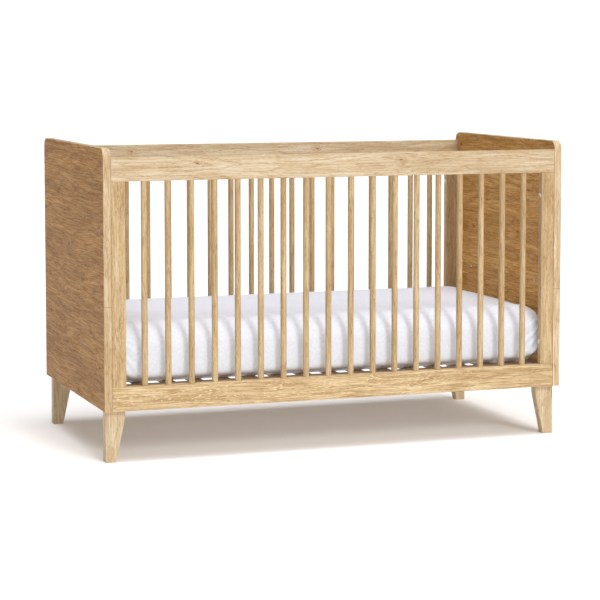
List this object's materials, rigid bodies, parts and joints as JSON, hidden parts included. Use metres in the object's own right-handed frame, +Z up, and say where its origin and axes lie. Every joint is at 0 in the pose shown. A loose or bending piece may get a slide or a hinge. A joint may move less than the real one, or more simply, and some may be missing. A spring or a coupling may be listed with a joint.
{
  "type": "baby crib",
  "caption": "Oak baby crib with solid rounded end panels, spindle sides, tapered legs, a height-set slatted base and a sheeted mattress.",
  "frame": {"origin": "centre of the footprint, on the floor under the legs", "axes": "+X along the crib to the right as seen from the front, +Y from front to rear, +Z up"},
  "size_m": [1.446, 0.752, 0.91],
  "materials": {
    "oak_veneer": "satin lacquered oak veneer on board, grain from front to back",
    "solid_oak": "satin lacquered solid oak",
    "oak_dowel": "satin lacquered turned oak dowel",
    "birch": "sanded birch, clear sealed",
    "zinc_steel": "zinc plated",
    "cotton_sheet": "plain woven white cotton, matt"
  },
  "bodies": {
    "frame": {"end_panel_left": "oak_veneer", "end_panel_right": "oak_veneer", "bearer_left": "birch", "bearer_right": "birch", "front_top_rail": "solid_oak", "front_bottom_rail": "solid_oak", "rear_top_rail": "solid_oak", "rear_bottom_rail": "solid_oak", "front_stile_left": "solid_oak", "front_stile_right": "solid_oak", "rear_stile_left": "solid_oak", "rear_stile_right": "solid_oak", "leg_front_left": "solid_oak", "leg_front_right": "solid_oak", "leg_rear_left": "solid_oak", "leg_rear_right": "solid_oak", "front_spindle_01": "oak_dowel", "front_spindle_02": "oak_dowel", "front_spindle_03": "oak_dowel", "front_spindle_04": "oak_dowel", "front_spindle_05": "oak_dowel", "front_spindle_06": "oak_dowel", "front_spindle_07": "oak_dowel", "front_spindle_08": "oak_dowel", "front_spindle_09": "oak_dowel", "front_spindle_10": "oak_dowel", "front_spindle_11": "oak_dowel", "front_spindle_12": "oak_dowel", "front_spindle_13": "oak_dowel", "front_spindle_14": "oak_dowel", "front_spindle_15": "oak_dowel", "front_spindle_16": "oak_dowel", "front_spindle_17": "oak_dowel", "front_spindle_18": "oak_dowel", "rear_spindle_01": "oak_dowel", "rear_spindle_02": "oak_dowel", "rear_spindle_03": "oak_dowel", "rear_spindle_04": "oak_dowel", "rear_spindle_05": "oak_dowel", "rear_spindle_06": "oak_dowel", "rear_spindle_07": "oak_dowel", "rear_spindle_08": "oak_dowel", "rear_spindle_09": "oak_dowel", "rear_spindle_10": "oak_dowel", "rear_spindle_11": "oak_dowel", "rear_spindle_12": "oak_dowel", "rear_spindle_13": "oak_dowel", "rear_spindle_14": "oak_dowel", "rear_spindle_15": "oak_dowel", "rear_spindle_16": "oak_dowel", "rear_spindle_17": "oak_dowel", "rear_spindle_18": "oak_dowel"},
    "mattress_base": {"slat_deck": "birch", "base_end_rail_left": "birch", "base_end_rail_right": "birch", "base_bolt_front_left": "zinc_steel", "base_bolt_front_right": "zinc_steel", "base_bolt_rear_left": "zinc_steel", "base_bolt_rear_right": "zinc_steel"},
    "mattress": {"mattress": "cotton_sheet"}
  },
  "joints": [
    {"name": "base_height", "type": "slide", "parent": "frame", "child": "mattress_base", "axis": [0, 0, 1], "range_m": [0, 0.26]},
    {"name": "mattress_lift", "type": "slide", "parent": "mattress_base", "child": "mattress", "axis": [0, 0, 1], "range_m": [0, 0.7]}
  ]
}
